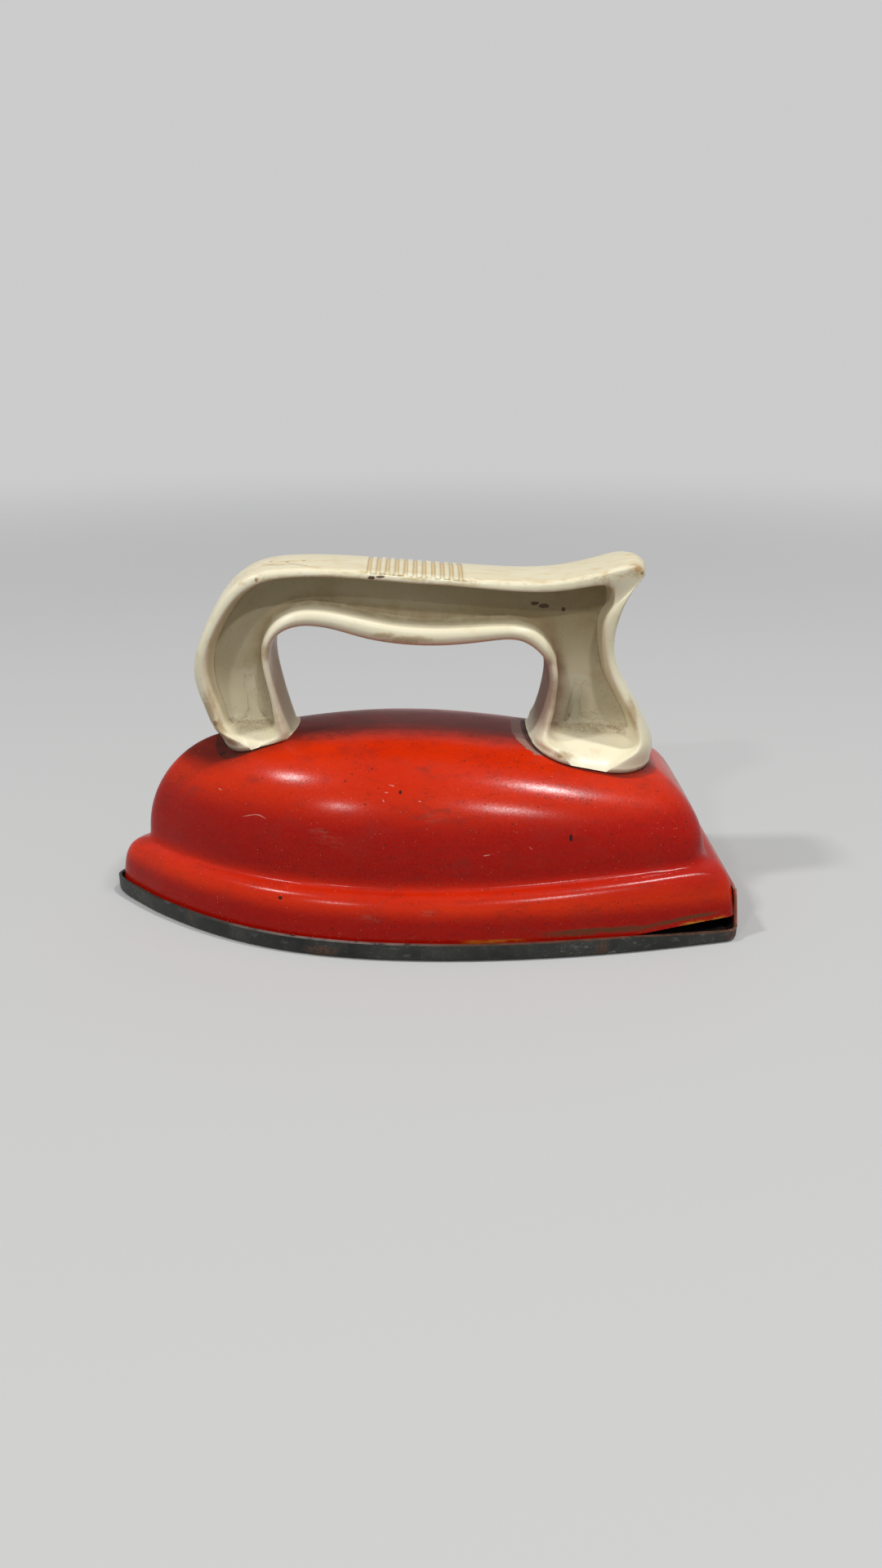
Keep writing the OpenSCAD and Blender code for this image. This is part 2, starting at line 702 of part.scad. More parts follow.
module front_handle_screw() {
    fasten(front_screw_share) handle_screw();
}

module rear_handle_screw() {
    fasten(rear_screw_share) handle_screw();
}

module front_screw_washer() {
    fasten(front_screw_share) washer();
}

module rear_screw_washer() {
    fasten(rear_screw_share) washer();
}

body_shell();
soleplate();
handle();
front_handle_screw();
rear_handle_screw();
front_screw_washer();
rear_screw_washer();
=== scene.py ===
"""A toy flat iron: a red tin body on a bare steel sole, with one cream moulded handle.

Metres, in the frame of the CAD part: the sole stands on Z = 0, the nose points to -X and
the near side faces -Y. Places and sizes of marks are given in millimetres.
"""

import math

import bpy
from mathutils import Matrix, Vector


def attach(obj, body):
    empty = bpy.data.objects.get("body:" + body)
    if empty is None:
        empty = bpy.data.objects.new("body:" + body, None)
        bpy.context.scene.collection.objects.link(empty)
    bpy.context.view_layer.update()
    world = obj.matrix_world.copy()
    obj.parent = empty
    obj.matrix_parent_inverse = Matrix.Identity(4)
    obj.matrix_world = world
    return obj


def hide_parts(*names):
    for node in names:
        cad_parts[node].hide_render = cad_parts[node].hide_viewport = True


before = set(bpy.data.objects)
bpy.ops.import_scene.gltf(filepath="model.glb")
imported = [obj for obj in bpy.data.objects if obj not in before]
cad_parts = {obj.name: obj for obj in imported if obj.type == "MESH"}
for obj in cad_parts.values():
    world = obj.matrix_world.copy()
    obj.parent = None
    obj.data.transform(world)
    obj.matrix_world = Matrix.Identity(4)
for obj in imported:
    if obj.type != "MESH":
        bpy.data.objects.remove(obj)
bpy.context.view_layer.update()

MM = 0.001
BODY = "root"

# Camera: a phone's view from the near side, a little above the iron; angles in degrees.
CAMERA_PLACE = Vector((1.74, -271.8, 132.25)) * MM
CAMERA_PITCH = 21.0
CAMERA_YAW = 1.0
FOCAL_PIXELS = 1444.0
PICTURE_HEIGHT_PIXELS = 1920.0
SENSOR = 36.0
CLIP_NEAR, CLIP_FAR = 0.01, 30.0

# Lamps: ceiling panels, placed by the lights that the enamel mirrors.
CEILING = 1.5
PANEL_WATTS = 12.0
PANEL_LENGTH = 0.19
PANEL_WIDTH = 0.105
# name of each panel, and its place along X and Y in shares of the ceiling's height
PANELS = (
    ("panel_left", -0.66, -0.24),
    ("panel_left_front", -0.69, -1.19),
    ("panel_right", 0.37, -0.14),
    ("panel_right_front", 0.3, -0.93),
)

# Backdrop and floor: what is seen and mirrored is pale, what lights the iron is plain.
SEEN_WORLD = (0.60, 0.60, 0.60)
LIGHT_WORLD = (0.30, 0.31, 0.32)
SEEN_FLOOR = (0.52, 0.52, 0.51)
LIGHT_FLOOR = (0.14, 0.14, 0.14)
BLACK = (0.0, 0.0, 0.0)
FLOOR_SIDE = 12.0
FLOOR_ROUGHNESS = 0.85
# distances from the iron between which the floor turns into the backdrop
FADE_START, FADE_END = 0.3, 1.0

# The iron's own measures, in millimetres.
REAR_X = 75.0
RIM_FRONT, RIM_REAR, RIM_FALL_X = 4.4, 3.1, 45.0
SKIRT_EDGE, SKIRT_EDGE_RISE, SKIRT_RISE_X = 0.82, 5.4, 18.0
GROOVE_X, GROOVE_PITCH, GROOVE_COUNT, GROOVE_WIDTH = -9.75, 2.06, 11, 0.85
GROOVE_END_Y, GROOVE_LOW_Z = 7.4, 80.2
# outlines of the feet: centre along the iron, half length, half width
FRONT_FOOT = (-38.2, 9.35, 9.9)
REAR_FOOT = (42.3, 16.1, 16.6)

# Rounding of the copied shapes: distances in millimetres, angles in degrees.
MERGE_DISTANCE = 0.005
QUAD_FACE_ANGLE, QUAD_SHAPE_ANGLE = 35, 50
SHEET_CREASE, SHEET_SMOOTH = 50, 40
GRIP_CREASE, GRIP_SMOOTH = 68, 65
# the handle's low sides, whose folds are smoothed, and the normal's Z that tells a seat
FOOT_SIDE, FOOT_TOP = 4.0, 47.0
FOOT_FACTOR, FOOT_ROUNDS = 0.5, 10
SEAT_DOWNWARDS = -0.5

FASTENERS = (
    "front_handle_screw",
    "rear_handle_screw",
    "front_screw_washer",
    "rear_screw_washer",
)


# Shader tools


class Socket:
    """A number in a material, so that an expression adds its Math nodes."""

    def __init__(self, nodes, output):
        self.nodes = nodes
        self.output = output

    def _math(self, operation, first, second=None):
        inputs = {0: first} if second is None else {0: first, 1: second}
        return self.nodes.add("ShaderNodeMath", {"operation": operation}, inputs)

    def __add__(self, other):
        return self._math("ADD", self, other)

    __radd__ = __add__

    def __sub__(self, other):
        return self._math("SUBTRACT", self, other)

    def __rsub__(self, other):
        return self._math("SUBTRACT", other, self)

    def __mul__(self, other):
        return self._math("MULTIPLY", self, other)

    __rmul__ = __mul__

    def __truediv__(self, other):
        return self._math("DIVIDE", self, other)

    def __rtruediv__(self, other):
        return self._math("DIVIDE", other, self)

    def __abs__(self):
        return self._math("ABSOLUTE", self)

    def least(self, other):
        return self._math("MINIMUM", self, other)

    def most(self, other):
        return self._math("MAXIMUM", self, other)

    def nearest(self):
        return self._math("ROUND", self)


class Nodes:
    """A node tree that is filled by one method."""

    def __init__(self, tree):
        self.tree = tree
        self.tree.nodes.clear()

    def add(self, kind, settings=None, inputs=None, output=0):
        """Adds a node: its settings first, then the values or links of its sockets."""
        node = self.tree.nodes.new(kind)
        for key, value in (settings or {}).items():
            if key == "stops":
                self._set_stops(node.color_ramp, value)
            else:
                setattr(node, key, value)
        for key, value in (inputs or {}).items():
            if isinstance(value, Socket):
                self.tree.links.new(value.output, node.inputs[key])
            else:
                node.inputs[key].default_value = value
        return Socket(self, node.outputs[output]) if node.outputs else None

    @staticmethod
    def _set_stops(ramp, stops):
        while len(ramp.elements) < len(stops):
            ramp.elements.new(1.0)
        for element, (position, color) in zip(ramp.elements, stops):
            element.position = position
            element.color = color

    def sibling(self, socket, name):
        """Another output of the node that a socket belongs to."""
        return Socket(self, socket.output.node.outputs[name])

    def paint(self, under, over, mask):
        """Lays colour over on colour under where the mask is 1."""
        under, over = (
            color if isinstance(color, Socket) else (*color, 1.0) for color in (under, over)
        )
        return self.add(
            "ShaderNodeMix",
            {"data_type": "RGBA"},
            {"Factor": mask, "A": under, "B": over},
            output="Result",
        )

    def seen_or_lit(self, seen, lit):
        """One colour for what is seen or mirrored, another for the light that it gives."""
        camera = self.add("ShaderNodeLightPath", output="Is Camera Ray")
        mirrored = self.sibling(camera, "Is Glossy Ray")
        through = self.sibling(camera, "Is Transmission Ray")
        return self.paint(lit, seen, camera.most(mirrored).most(through))


class Finish(Nodes):
    """One material, and patterns that follow the place on the iron."""

    def __init__(self, name):
        self.material = bpy.data.materials.new(name)
        self.material.use_nodes = True
        super().__init__(self.material.node_tree)
        self.place = self.add("ShaderNodeTexCoord", output="Object")
        self.color = None

    def vector(self, operation, first, second, output="Vector"):
        return self.add(
            "ShaderNodeVectorMath", {"operation": operation}, {0: first, 1: second}, output
        )

    def noise(self, size, detail=3.0, rough=0.55, shift=0.0, stretch=(1, 1, 1)):
        """Cloudy pattern whose patches are about size millimetres across."""
        moved = self.add(
            "ShaderNodeVectorMath",
            {"operation": "MULTIPLY_ADD"},
            {0: self.place, 1: stretch, 2: (shift, 2 * shift, 3 * shift)},
        )
        return self.add(
            "ShaderNodeTexNoise",
            {},
            {"Vector": moved, "Scale": 1 / (size * MM), "Detail": detail, "Roughness": rough},
        )

    def step(self, value, low, high):
        """0 at low, 1 at high, smooth between them."""
        return self.add(
            "ShaderNodeMapRange",
            {"interpolation_type": "SMOOTHSTEP"},
            {"Value": value, "From Min": low, "From Max": high},
        )

    def shades(self, value, *stops):
        """A colour that runs through stops of (position, (r, g, b))."""
        return self.add(
            "ShaderNodeValToRGB",
            {"stops": [(at, (*color, 1.0)) for at, color in stops]},
            {"Fac": value},
        )

    def close(self, roughness, height=None, depth=0.1, **plain):
        """Ends the material; height is a relief whose full depth is in millimetres."""
        inputs = {"Base Color": self.color, "Roughness": roughness}
        inputs.update({key.replace("_", " "): value for key, value in plain.items()})
        if height is not None:
            inputs["Normal"] = self.add(
                "ShaderNodeBump", {}, {"Height": height, "Strength": 1.0, "Distance": depth * MM}
            )
        surface = self.add("ShaderNodeBsdfPrincipled", {}, inputs)
        self.add("ShaderNodeOutputMaterial", {}, {"Surface": surface})
        return self.material


class WornFinish(Finish):
    """A finish that is painted over in layers, with marks placed in millimetres."""

    # a speck's cell in speck sizes, and the distances at which a speck ends and is full
    SPECK_CELL = 2.5
    SPECK_END, SPECK_FULL = 0.22, 0.1

    def __init__(self, name):
        super().__init__(name)
        scaled = self.vector("MULTIPLY", self.place, (1 / MM, 1 / MM, 1 / MM))
        self.x = self.add("ShaderNodeSeparateXYZ", {}, {0: scaled}, output="X")
        self.y = self.sibling(self.x, "Y")
        self.z = self.sibling(self.x, "Z")

    def lay(self, color, mask, strength=1.0):
        """Paints a colour over the finish by a mask, at most at this strength."""
        if strength != 1.0:
            mask = mask * strength
        self.color = self.paint(self.color, color, mask)

    def band(self, value, low, high, soft):
        """1 between low and high, with edges as wide as soft."""
        return self.step(value, low - soft, low + soft) * self.step(value, high + soft, high - soft)

    def specks(self, size, share, shift=0.0):
        """Separate dots up to size millimetres across, on about this share of the cells."""
        moved = self.vector("ADD", self.place, (shift, shift, shift))
        distance = self.add(
            "ShaderNodeTexVoronoi",
            {},
            {"Vector": moved, "Scale": 1 / (self.SPECK_CELL * size * MM)},
            output="Distance",
        )
        chance = self.add(
            "ShaderNodeSeparateColor", {}, {0: self.sibling(distance, "Color")}, output="Red"
        )
        picked = self.step(chance, 1.0 - share, 1.0 - 0.6 * share)
        return picked * self.step(distance, self.SPECK_END, self.SPECK_FULL)

    def spot(self, centre, reach, edge=0.3, wobble=None):
        """An oval patch: its centre and half sizes, and what makes its outline ragged."""
        offset = self.vector("SUBTRACT", self.place, Vector(centre) * MM)
        scaled = self.vector("DIVIDE", offset, Vector(reach) * MM)
        away = self.add(
            "ShaderNodeVectorMath", {"operation": "LENGTH"}, {0: scaled}, output="Value"
        )
        if wobble is not None:
            away = away + wobble
        return self.step(away, 1.0 + edge / 2, 1.0 - edge / 2)

    def spots(self, rows, edge=0.3, ragged=0.0, grain=1.0):
        """Several patches of one kind as one mask, with equally ragged outlines."""
        wobble = (self.noise(grain, 4, 0.65) - 0.5) * ragged if ragged else None
        return self.any_of([self.spot(*row, edge, wobble) for row in rows])

    @staticmethod
    def any_of(masks):
        """The strongest of several masks."""
        mask = masks[0]
        for other in masks[1:]:
            mask = mask.most(other)
        return mask

    def scratch(self, width, points):
        """A thin line through points."""
        lines = []
        for start, end in zip(points, points[1:]):
            along = (Vector(end) - Vector(start)) * MM
            offset = self.vector("SUBTRACT", self.place, Vector(start) * MM)
            share = self.vector("DOT_PRODUCT", offset, along / along.length_squared, "Value")
            foot = self.add(
                "ShaderNodeVectorMath",
                {"operation": "SCALE"},
                {0: along, "Scale": share.most(0.0).least(1.0)},
            )
            away = self.vector("DISTANCE", offset, foot, "Value")
            lines.append(self.step(away, 0.75 * width * MM, 0.25 * width * MM))
        return self.any_of(lines)

    def scratches(self, width, lines):
        """Several thin lines as one mask; each line is a row of points."""
        return self.any_of([self.scratch(width, points) for points in lines])


# Outlines that materials share


def rim_top(f):
    """Height of the sole's rim along the iron."""
    return f.step(f.x, RIM_FALL_X, REAR_X) * (RIM_REAR - RIM_FRONT) + RIM_FRONT


def skirt_edge(f):
    """Height of the skirt's lower edge along the iron."""
    return f.step(f.x, SKIRT_RISE_X, REAR_X) * SKIRT_EDGE_RISE + SKIRT_EDGE


def foot_outline(f, foot):
    """1 under a foot of the handle and in a thin line round it."""
    centre, half_length, half_width = foot
    along = abs((f.x - centre) / half_length)
    across = abs(f.y / half_width)
    return f.step(along * along * along + across * across * across, 1.10, 0.98)


# The body's red enamel

# Colours of the enamel, from its tones and its painted shade and shadow to its wear.
ENAMEL_DEEP, ENAMEL_LIGHT = (0.54, 0.018, 0.001), (0.64, 0.028, 0.002)
# painted shade: the deeper red of the walls and skirt, which face the sides
SIDE_SHADE_RED = (0.34, 0.002, 0.001)
STREAK_RED = (0.24, 0.012, 0.005)
# painted shadow of the handle on the crest
CREST_SHADOW = (0.055, 0.010, 0.008)
DULL_RED = (0.30, 0.02, 0.012)
SMEAR_BROWN = (0.18, 0.030, 0.022)
RUBBED_RED = (0.28, 0.09, 0.065)
MOTTLE_RED = (0.15, 0.018, 0.010)
PIT_DARK = (0.06, 0.012, 0.008)
PRICK_PALE = (0.60, 0.24, 0.15)
PRIMER = (0.66, 0.30, 0.24)
DARK_METAL = (0.012, 0.008, 0.007)
CRESCENT_TIN = (0.27, 0.16, 0.13)
# painted contact shadow where the handle's feet meet the dome
SEAT_SHADOW = (0.045, 0.012, 0.008)
SKIRT_BROWN = (0.10, 0.046, 0.018)
SKIRT_YELLOW = (0.58, 0.26, 0.02)
SCUFFED_TIN = (0.34, 0.20, 0.13)
CORNER_BROWN = (0.10, 0.040, 0.022)

# Where layers of the enamel fade in or out: heights, lengths and half widths.
WALL_HEIGHTS, WALL_FADE = (14.5, 30.5), 4.0
SKIRT_FADE = (12.5, 8.0)
CREST_HALF_WIDTHS, CREST_HEIGHTS = (14.0, 6.5), (34.0, 38.0)
CREST_RAGGED = 7.0
MOTTLE_HEIGHTS = (18.0, 30.0)
SEAT_HEIGHTS = (34, 36)
CORNER_LENGTHS, CORNER_HEIGHTS = (72.9, 74.0), (15.5, 13.0)
# streaks and yellowing along the skirt: between which X, and how soft
MIDDLE_RUB_X, MIDDLE_RUB_FADE = (30.0, 52.0), 5
REAR_RUB_X, REAR_RUB_FADE = (48.0, 69.0), 3
MIDDLE_YELLOW_X, MIDDLE_YELLOW_FADE = (12, 25), 3
REAR_YELLOW_X, REAR_YELLOW_FADE = (62, 70.5), 2.5
# the same above the skirt's edge: between which heights, and how soft
MIDDLE_RUB_ABOVE, MIDDLE_RUB_SOFT = (0.6, 2.1), 0.4
REAR_RUB_ABOVE, REAR_RUB_SOFT = (1.0, 1.9), 0.3
YELLOW_ABOVE, YELLOW_SOFT = (-0.3, 0.45), 0.3
SCUFF_ABOVE = (3.5, 0.4)

# Patches on the enamel: the centre of each, and its half sizes.
SMEARS = (
    ((-53.1, -9.6, 30.1), (3.0, 3.0, 2.4)),
    ((-37.0, -17.1, 34.8), (2.2, 2.0, 1.6)),
    ((3.9, -21.7, 39.2), (3.2, 2.5, 1.8)),
    ((4.6, -28.6, 31.0), (5.5, 3.0, 2.6)),
    ((10.9, -31.9, 20.2), (3.0, 2.0, 2.0)),
    ((-12.0, -31.0, 31.0), (6.0, 3.0, 1.2)),
)
RUBBED_PATCHES = (
    ((-19.8, -28.0, 25.4), (2.8, 2.0, 0.9)),
    ((-21.4, -27.3, 26.9), (2.2, 2.0, 0.7)),
    ((-17.2, -28.7, 24.9), (1.4, 2.0, 1.2)),
    ((4.5, -28.8, 30.9), (2.2, 2.0, 1.0)),
    ((-10.0, -36.0, 9.6), (2.6, 2.0, 0.8)),
    ((3.0, -36.6, 11.0), (1.6, 2.0, 0.7)),
)
PIT_CLUSTERS = (
    ((-26.4, -20.2, 36.3), (3.4, 2.5, 1.0)),
    ((-8.9, -36.2, 9.7), (1.6, 1.5, 1.0)),
    ((36.0, -23.7, 33.8), (9.0, 3.0, 1.6)),
)
ENAMEL_CHIPS = (
    ((-45.7, -7.2, 38.6), (0.45, 0.9, 0.4)),
    ((-45.0, -7.3, 39.0), (0.55, 0.9, 0.3)),
    ((35.2, -29.3, 26.0), (0.4, 0.6, 0.9)),
    ((-3.1, -25.4, 35.7), (0.35, 0.6, 0.4)),
    ((-30.6, -30.4, 12.1), (0.5, 0.6, 0.4)),
    ((-47.0, 6.0, 38.4), (0.5, 0.6, 0.5)),
    ((44.0, 27.6, 26.0), (0.7, 0.6, 0.5)),
)
WORN_CRESCENT = ((30.6, 0.0, 42.4), (7.2, 15.6, 5.0))

# Scratches on the enamel: the points of each.
ARC_WIDTH = 0.26
ARC = (
    (-39.7, -19.8, 27.8),
    (-38.1, -20.4, 28.3),
    (-36.8, -20.9, 28.7),
    (-35.6, -21.4, 28.8),
    (-34.0, -22.4, 28.3),
)
TICK_WIDTH = 0.24
TICKS = (
    ((-5.7, -24.0, 37.1), (-4.6, -24.2, 36.8)),
    ((-6.8, -25.2, 35.7), (-6.0, -25.2, 35.6)),
    ((-7.0, -26.2, 34.2), (-6.8, -26.4, 33.9)),
    ((1.1, -26.8, 34.1), (1.4, -26.8, 34.0)),
    ((-45.9, -13.6, 32.4), (-45.1, -14.0, 32.2)),
    ((15.6, -31.4, 22.7), (17.6, -31.4, 23.0)),
    ((18.6, -31.3, 23.4), (19.9, -31.3, 23.4)),
    ((25.7, -30.6, 24.5), (26.3, -30.7, 23.9)),
    ((-12.0, 26.0, 33.0), (-4.0, 27.4, 31.5), (1.0, 28.0, 31.6)),
    ((31.0, 29.5, 25.0), (36.5, 28.0, 27.0)),
)


def enamel_tones_and_shade(f, broad, streaks):
    """Painted shade: deeper red on the dome's wall and on the skirt, which face the sides; and
    darker worn streaks.
    """
    f.color = f.shades(broad, (0.3, ENAMEL_DEEP), (0.7, ENAMEL_LIGHT))
    side_shade = f.band(f.z, *WALL_HEIGHTS, WALL_FADE).most(f.step(f.z, *SKIRT_FADE))
    # painted shade: the walls and the skirt are darker than the top
    f.lay(SIDE_SHADE_RED, side_shade * (0.70 + streaks * 0.3))
    f.lay(STREAK_RED, f.step(streaks, 0.50, 0.72), 0.38)


def crest_shadow(f, broad, streaks):
    """Painted shadow of the handle: a brownish darkening with a ragged edge, along the crest
    between the feet.
    """
    edge = abs(f.y) + (streaks - 0.5) * CREST_RAGGED
    painted_shade = f.step(edge, *CREST_HALF_WIDTHS) * f.step(f.z, *CREST_HEIGHTS)
    painted_shade = painted_shade * (0.50 + broad * 0.6)
    f.lay(CREST_SHADOW, painted_shade)
    return painted_shade


def dull_patches(f):
    """Broad patches where the red has lost its depth."""
    dull = f.step(f.noise(9, 5, shift=4.1), 0.5, 0.8)
    f.lay(DULL_RED, dull, 0.45)
    return dull


def enamel_rubs(f, streaks):
    """Brown smears, then paler rubbed patches broken into streaks."""
    smears = f.spots(SMEARS, edge=1.6, ragged=2.4, grain=2.0)
    f.lay(SMEAR_BROWN, smears * f.step(streaks, 0.40, 0.62), 0.3)
    rubbed = f.spots(RUBBED_PATCHES, edge=1.2, ragged=1.8, grain=1.4)
    broken = f.step(f.noise(0.6, 5, 0.8, shift=5.9, stretch=(0.25, 0.25, 1)), 0.42, 0.66)
    stray = f.step(f.noise(1.8, 5, 0.75, shift=7.7), 0.66, 0.78)
    f.lay(RUBBED_RED, rubbed * broken * 0.5 + stray * 0.2)
    return rubbed


def enamel_pits(f):
    """Fine mottling and small dark pits, both thicker in places, and pale pricks."""
    crowd = f.step(f.noise(14, 2, shift=2.9), 0.40, 0.62)
    mottle = f.step(f.noise(0.5, 4, 0.8, shift=5.2), 0.54, 0.66)
    mottle = mottle * f.step(f.z, *MOTTLE_HEIGHTS)
    f.lay(MOTTLE_RED, mottle * (0.15 + crowd * 0.4))
    pits = f.specks(0.40, 0.6, 0.7) * crowd + f.specks(0.60, 0.08, 4.7)
    clusters = f.spots(PIT_CLUSTERS, edge=1.0, ragged=1.4, grain=1.2)
    clusters = clusters * f.step(f.noise(0.55, 3, 0.7, shift=9.4), 0.55, 0.63)
    f.lay(PIT_DARK, (pits * 0.85).most(clusters * 0.9).least(1.0))
    pricks = f.specks(0.26, 0.18, 2.2) * f.step(f.noise(11, 2, shift=6.6), 0.45, 0.6)
    f.lay(PRICK_PALE, pricks, 0.6)
    return pits


def enamel_scratches(f, fine):
    """Scratches through to the light primer."""
    arc = f.scratch(ARC_WIDTH, ARC)
    ticks = f.scratches(TICK_WIDTH, TICKS)
    scratches = arc.most(ticks * f.step(fine, 0.36, 0.5))
    f.lay(PRIMER, scratches, 0.8)
    return scratches


def enamel_chips(f):
    """Chips down to dark metal."""
    chips = f.spots(ENAMEL_CHIPS, ragged=0.5, grain=0.5)
    f.lay(DARK_METAL, chips, 0.95)
    return chips


def worn_crescent(f, fine):
    """The crescent where the front of the rear foot has rubbed the paint away."""
    worn = f.spot(*WORN_CRESCENT, 0.05, (f.noise(1.2, 3) - 0.5) * 0.2)
    f.lay(CRESCENT_TIN, worn * (0.75 + fine * 0.3))
    return worn


def seat_shadow(f, fine):
    """Painted contact shadow in the line where the feet meet the dome."""
    seats = foot_outline(f, FRONT_FOOT).most(foot_outline(f, REAR_FOOT))
    f.lay(SEAT_SHADOW, seats * f.step(f.z, *SEAT_HEIGHTS) * (0.5 + fine * 0.6))


def skirt_streaks(f, above, cloud):
    """Brown rubbed streaks just above the skirt's edge, from its middle to the rear."""
    wavy = above + (cloud - 0.5) * 1.1
    middle_rub = f.band(wavy, *MIDDLE_RUB_ABOVE, MIDDLE_RUB_SOFT)
    middle_rub = middle_rub * f.band(f.x, *MIDDLE_RUB_X, MIDDLE_RUB_FADE)
    rear_rub = f.band(wavy, *REAR_RUB_ABOVE, REAR_RUB_SOFT)
    rear_rub = rear_rub * f.band(f.x, *REAR_RUB_X, REAR_RUB_FADE)
    rub = middle_rub.most(rear_rub)
    rub = rub * f.step(f.noise(1.3, 4, 0.7, shift=4.8, stretch=(0.2, 0.2, 1)), 0.36, 0.50)
    f.lay(SKIRT_BROWN, rub, 0.85)


def skirt_yellowing(f, above, cloud):
    """Yellowed paint along the skirt's edge, a little in the middle and more at the rear."""
    yellow = f.band(above + (cloud - 0.5) * 0.8, *YELLOW_ABOVE, YELLOW_SOFT)
    middle = f.band(f.x, *MIDDLE_YELLOW_X, MIDDLE_YELLOW_FADE) * 0.5
    ends = middle.most(f.band(f.x, *REAR_YELLOW_X, REAR_YELLOW_FADE))
    f.lay(SKIRT_YELLOW, yellow * ends * f.step(cloud, 0.36, 0.56))


def skirt_scuffs(f, above, cloud):
    """Scuffs low on the skirt, and a brown patch low on its rear wall."""
    scuffed = f.step(f.noise(1.0, 4, 0.7, shift=8.2), 0.62, 0.72)
    f.lay(SCUFFED_TIN, scuffed * f.step(above, *SCUFF_ABOVE), 0.45)
    corner = f.step(f.x, *CORNER_LENGTHS) * f.step(f.z, *CORNER_HEIGHTS)
    f.lay(CORNER_BROWN, corner * (0.4 + cloud))


def skirt_wear(f):
    """What the years did to the skirt's foot."""
    above = f.z - skirt_edge(f).most(rim_top(f))
    cloud = f.noise(2.4, 5, 0.7, shift=5.5, stretch=(0.35, 0.35, 1))
    skirt_streaks(f, above, cloud)
    skirt_yellowing(f, above, cloud)
    skirt_scuffs(f, above, cloud)


def red_enamel():
    """Old red enamel on tin: dulled, scuffed, worn to the metal along the skirt, with painted shade
    on its walls and a painted shadow of the handle on the crest.
    """
    f = WornFinish("red_enamel")
    broad = f.noise(28, 4)
    fine = f.noise(3.5, 4, shift=1.3)
    streaks = f.noise(1.4, 5, 0.7, shift=8.8, stretch=(0.3, 0.3, 1))
    enamel_tones_and_shade(f, broad, streaks)
    painted_shade = crest_shadow(f, broad, streaks)
    dull = dull_patches(f)
    rubbed = enamel_rubs(f, streaks)
    pits = enamel_pits(f)
    scratches = enamel_scratches(f, fine)
    chips = enamel_chips(f)
    worn = worn_crescent(f, fine)
    seat_shadow(f, fine)
    skirt_wear(f)

    # the painted shadow on the crest is also rougher and has no coat
    roughness = 0.19 + (broad - 0.5) * 0.12 + dull * 0.10 + painted_shade * 0.15 + (rubbed + worn) * 0.2
    peel = f.noise(0.75, 2, shift=3.3)
    height = peel * 0.8 + fine * 0.35 - (pits + chips) * 0.8 - scratches * 0.5
    dusty = f.step(f.noise(0.5, 4, 0.75, shift=6.1), 0.34, 0.66)
    gloss = (1.0 - painted_shade) * (0.12 + dusty * 0.26)
    shine = {"Specular_IOR_Level": 0.04, "Coat_Weight": gloss, "Coat_Roughness": 0.2}
    return f.close(roughness, height, 0.04, **shine)


# The sole's bare steel

# Colours of the sole.
STEEL_DARK, STEEL_LIGHT = (0.018, 0.020, 0.018), (0.064, 0.066, 0.058)
STEEL_SCUFF = (0.30, 0.31, 0.29)
STEEL_CRUMB = (0.17, 0.15, 0.10)
RUST = (0.12, 0.050, 0.028)
# painted highlight along the rim's upper edge, bright in front and brown behind
GLINT_FRONT, GLINT_REAR = (0.34, 0.29, 0.26), (0.20, 0.09, 0.06)
FLANGE_RED = (0.42, 0.040, 0.016)
FLANGE_BROWN = (0.17, 0.055, 0.028)

# Where layers of the sole fade in or out.
SCUFF_LENGTHS = (5, 50)
RIM_EDGE_DEPTHS, RIM_EDGE_LENGTHS = (-0.3, -0.1), (-55, -25)
GLINT_LENGTHS = (-12, 12)
FLANGE_HEIGHTS, FLANGE_LENGTHS = (3.4, 4.6), (70, 72.5)
FLANGE_END_WIDTHS = (20, 27)

# Patches of rust on the sole.
RUST_PATCHES = (
    ((42.3, -37.0, 2.2), (1.4, 2.5, 1.8)),
    ((-21.3, -36.3, 1.6), (3.8, 2.5, 1.2)),
    ((73.8, -28.0, 2.4), (2.6, 5.0, 2.8)),
    ((73.8, 28.0, 2.4), (2.6, 5.0, 2.8)),
)


def steel_scuffs(f, broad, scuffs):
    """Scuffs that are brighter towards the rear, and crumbs of dry dirt."""
    bright = f.step(scuffs, 0.56, 0.72) * (0.3 + f.step(f.x, *SCUFF_LENGTHS) * 0.45)
    f.lay(STEEL_SCUFF, bright)
    crumbs = f.step(f.noise(0.7, 4, 0.75, shift=7.3), 0.56, 0.66) * f.step(broad, 0.42, 0.58)
    f.lay(STEEL_CRUMB, crumbs, 0.7)


def steel_rust(f):
    """Rust in scattered stains, and at the places where the sole shows it most."""
    stains = f.step(f.noise(6, 6, 0.65, shift=3.4), 0.60, 0.72)
    rust = stains.most(f.spots(RUST_PATCHES, edge=0.9, ragged=1.4, grain=1.2))
    rust = rust * f.step(f.noise(0.8, 4, 0.7, shift=1.9), 0.36, 0.56)
    f.lay(RUST, rust, 0.8)
    return rust


def rim_glint(f, scuffs):
    """Painted highlight along the rim's upper edge, where the metal is rubbed bare: bright in front
    and brown behind.
    """
    edge = f.step(f.z - rim_top(f), *RIM_EDGE_DEPTHS) * f.step(f.x, *RIM_EDGE_LENGTHS)
    glint = f.shades(f.step(f.x, *GLINT_LENGTHS), (0.0, GLINT_FRONT), (1.0, GLINT_REAR))
    f.lay(glint, edge * f.step(scuffs, 0.32, 0.52), 0.85)
    return edge


def flange_paint(f, scuffs):
    """The body's red on the rear flange, worn brown at its ends."""
    flange = f.step(f.z, *FLANGE_HEIGHTS) * f.step(f.x, *FLANGE_LENGTHS)
    f.lay(FLANGE_RED, flange)
    worn_end = flange * f.step(abs(f.y), *FLANGE_END_WIDTHS) * f.step(scuffs, 0.35, 0.6)
    f.lay(FLANGE_BROWN, worn_end)
    return flange


